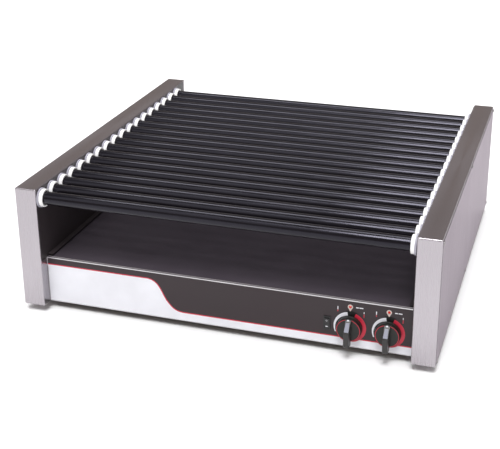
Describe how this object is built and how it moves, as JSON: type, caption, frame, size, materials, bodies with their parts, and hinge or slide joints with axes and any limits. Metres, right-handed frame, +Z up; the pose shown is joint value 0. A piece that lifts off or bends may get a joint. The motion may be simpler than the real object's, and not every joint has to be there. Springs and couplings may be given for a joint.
{
  "type": "hot dog roller grill",
  "caption": "Counter-top roller grill: heated turning rollers between two steel side housings, over an open bay, a slide-out drip tray and a base with two heat knobs and a rocker switch.",
  "frame": {"origin": "on the floor, at the centre of the footprint", "axes": "+X to the operator's right along the rollers, -Y towards the operator, +Z up"},
  "size_m": [0.8956, 0.8668, 0.286],
  "materials": {
    "stainless": "brushed stainless sheet",
    "plated_sheet": "plated steel sheet",
    "black_enamel": "satin black enamel",
    "roller_coating": "black non-stick coating",
    "white_polymer": "smooth white polymer",
    "overlay_film": "satin printed film",
    "knob_plastic": "black moulded plastic",
    "switch_plastic": "black moulded plastic",
    "pilot_lens": "red lens",
    "foot_rubber": "black rubber",
    "fasteners": "zinc-plated steel",
    "drive_steel": "oiled steel",
    "rod_sheath": "oxidised steel sheath",
    "motor_paint": "grey paint",
    "control_case": "dark moulded plastic",
    "gland_nylon": "black nylon",
    "block_ceramic": "white ceramic"
  },
  "bodies": {
    "base": {"side_housing_right": "stainless", "side_housing_left": "stainless", "side_cover_right": "stainless", "side_cover_left": "stainless", "cover_screws": "fasteners", "feet": "foot_rubber", "foot_screws": "fasteners", "bay_liner_right": "black_enamel", "bay_liner_left": "black_enamel", "bay_back_wall": "black_enamel", "base_deck": "plated_sheet", "base_pan": "plated_sheet", "base_front_panel": "plated_sheet", "control_overlay": "overlay_film", "base_back_panel": "plated_sheet", "back_panel_screws": "fasteners", "roller_bearings_right": "white_polymer", "roller_bearings_left": "white_polymer", "heating_elements": "rod_sheath", "element_bracket_right": "plated_sheet", "element_bracket_left": "plated_sheet", "gear_motor": "motor_paint", "motor_bracket": "plated_sheet", "motor_screws": "fasteners", "idler_bracket": "plated_sheet", "drive_chain": "drive_steel", "heat_controls": "control_case", "pilot_lights": "pilot_lens", "power_switch_body": "switch_plastic", "cord_gland": "gland_nylon", "terminal_block": "block_ceramic"},
    "drive": {"motor_shaft": "drive_steel", "motor_sprocket": "drive_steel"},
    "idler": {"idler_sprocket": "drive_steel"},
    "knob_left": {"knob_left": "knob_plastic", "control_shaft_left": "drive_steel"},
    "knob_right": {"knob_right": "knob_plastic", "control_shaft_right": "drive_steel"},
    "power_rocker": {"power_rocker": "switch_plastic"},
    "drip_tray": {"drip_tray": "black_enamel"},
    "roller_01": {"roller_01": "roller_coating"},
    "roller_02": {"roller_02": "roller_coating"},
    "roller_03": {"roller_03": "roller_coating"},
    "roller_04": {"roller_04": "roller_coating"},
    "roller_05": {"roller_05": "roller_coating"},
    "roller_06": {"roller_06": "roller_coating"},
    "roller_07": {"roller_07": "roller_coating"},
    "roller_08": {"roller_08": "roller_coating"},
    "roller_09": {"roller_09": "roller_coating"},
    "roller_10": {"roller_10": "roller_coating"},
    "roller_11": {"roller_11": "roller_coating"},
    "roller_12": {"roller_12": "roller_coating"},
    "roller_13": {"roller_13": "roller_coating"},
    "roller_14": {"roller_14": "roller_coating"},
    "roller_15": {"roller_15": "roller_coating"},
    "roller_16": {"roller_16": "roller_coating"},
    "roller_17": {"roller_17": "roller_coating"},
    "roller_18": {"roller_18": "roller_coating"}
  },
  "joints": [
    {"name": "drive_spin", "type": "hinge", "parent": "base", "child": "drive", "pos_m": [-0.4122, -0.03, 0.085], "axis": [1, 0, 0], "continuous": true},
    {"name": "roller_01_spin", "type": "hinge", "parent": "base", "child": "roller_01", "pos_m": [0, -0.4034, 0.262], "axis": [1, 0, 0], "continuous": true, "deforming": ["drive_chain"]},
    {"name": "roller_02_spin", "type": "hinge", "parent": "base", "child": "roller_02", "pos_m": [0, -0.35895, 0.262], "axis": [1, 0, 0], "continuous": true},
    {"name": "roller_03_spin", "type": "hinge", "parent": "base", "child": "roller_03", "pos_m": [0, -0.3145, 0.262], "axis": [1, 0, 0], "continuous": true},
    {"name": "roller_04_spin", "type": "hinge", "parent": "base", "child": "roller_04", "pos_m": [0, -0.27005, 0.262], "axis": [1, 0, 0], "continuous": true},
    {"name": "roller_05_spin", "type": "hinge", "parent": "base", "child": "roller_05", "pos_m": [0, -0.2256, 0.262], "axis": [1, 0, 0], "continuous": true},
    {"name": "roller_06_spin", "type": "hinge", "parent": "base", "child": "roller_06", "pos_m": [0, -0.18115, 0.262], "axis": [1, 0, 0], "continuous": true},
    {"name": "roller_07_spin", "type": "hinge", "parent": "base", "child": "roller_07", "pos_m": [0, -0.1367, 0.262], "axis": [1, 0, 0], "continuous": true},
    {"name": "roller_08_spin", "type": "hinge", "parent": "base", "child": "roller_08", "pos_m": [0, -0.09225, 0.262], "axis": [1, 0, 0], "continuous": true},
    {"name": "roller_09_spin", "type": "hinge", "parent": "base", "child": "roller_09", "pos_m": [0, -0.0478, 0.262], "axis": [1, 0, 0], "continuous": true},
    {"name": "roller_10_spin", "type": "hinge", "parent": "base", "child": "roller_10", "pos_m": [0, -0.00335, 0.262], "axis": [1, 0, 0], "continuous": true},
    {"name": "roller_11_spin", "type": "hinge", "parent": "base", "child": "roller_11", "pos_m": [0, 0.0411, 0.262], "axis": [1, 0, 0], "continuous": true},
    {"name": "roller_12_spin", "type": "hinge", "parent": "base", "child": "roller_12", "pos_m": [0, 0.08555, 0.262], "axis": [1, 0, 0], "continuous": true},
    {"name": "roller_13_spin", "type": "hinge", "parent": "base", "child": "roller_13", "pos_m": [0, 0.13, 0.262], "axis": [1, 0, 0], "continuous": true},
    {"name": "roller_14_spin", "type": "hinge", "parent": "base", "child": "roller_14", "pos_m": [0, 0.17445, 0.262], "axis": [1, 0, 0], "continuous": true},
    {"name": "roller_15_spin", "type": "hinge", "parent": "base", "child": "roller_15", "pos_m": [0, 0.2189, 0.262], "axis": [1, 0, 0], "continuous": true},
    {"name": "roller_16_spin", "type": "hinge", "parent": "base", "child": "roller_16", "pos_m": [0, 0.26335, 0.262], "axis": [1, 0, 0], "continuous": true},
    {"name": "roller_17_spin", "type": "hinge", "parent": "base", "child": "roller_17", "pos_m": [0, 0.3078, 0.262], "axis": [1, 0, 0], "continuous": true},
    {"name": "roller_18_spin", "type": "hinge", "parent": "base", "child": "roller_18", "pos_m": [0, 0.35225, 0.262], "axis": [1, 0, 0], "continuous": true},
    {"name": "idler_spin", "type": "hinge", "parent": "base", "child": "idler", "pos_m": [-0.4122, 0.012, 0.15], "axis": [1, 0, 0], "continuous": true},
    {"name": "knob_left_turn", "type": "hinge", "parent": "base", "child": "knob_left", "pos_m": [0.269, -0.3994, 0.0623], "axis": [0, 1, 0], "range_deg": [0, 300]},
    {"name": "knob_right_turn", "type": "hinge", "parent": "base", "child": "knob_right", "pos_m": [0.3465, -0.3994, 0.0623], "axis": [0, 1, 0], "range_deg": [0, 300]},
    {"name": "power_rocker_tip", "type": "hinge", "parent": "base", "child": "power_rocker", "pos_m": [0.2222, -0.3984, 0.0649], "axis": [-1, 0, 0], "range_deg": [0, 16]},
    {"name": "drip_tray_slide", "type": "slide", "parent": "base", "child": "drip_tray", "axis": [0, -1, 0], "range_m": [0, 0.45]}
  ],
  "couplings": [
    {"joint": "roller_02_spin", "follows": "roller_01_spin", "ratio": 1},
    {"joint": "roller_03_spin", "follows": "roller_01_spin", "ratio": 1},
    {"joint": "roller_04_spin", "follows": "roller_01_spin", "ratio": 1},
    {"joint": "roller_05_spin", "follows": "roller_01_spin", "ratio": 1},
    {"joint": "roller_06_spin", "follows": "roller_01_spin", "ratio": 1},
    {"joint": "roller_07_spin", "follows": "roller_01_spin", "ratio": 1},
    {"joint": "roller_08_spin", "follows": "roller_01_spin", "ratio": 1},
    {"joint": "roller_09_spin", "follows": "roller_01_spin", "ratio": 1},
    {"joint": "roller_10_spin", "follows": "roller_01_spin", "ratio": 1},
    {"joint": "roller_11_spin", "follows": "roller_01_spin", "ratio": 1},
    {"joint": "roller_12_spin", "follows": "roller_01_spin", "ratio": 1},
    {"joint": "roller_13_spin", "follows": "roller_01_spin", "ratio": 1},
    {"joint": "roller_14_spin", "follows": "roller_01_spin", "ratio": 1},
    {"joint": "roller_15_spin", "follows": "roller_01_spin", "ratio": 1},
    {"joint": "roller_16_spin", "follows": "roller_01_spin", "ratio": 1},
    {"joint": "roller_17_spin", "follows": "roller_01_spin", "ratio": 1},
    {"joint": "roller_18_spin", "follows": "roller_01_spin", "ratio": 1},
    {"joint": "drive_spin", "follows": "roller_01_spin", "ratio": 1},
    {"joint": "idler_spin", "follows": "roller_01_spin", "ratio": -1}
  ]
}
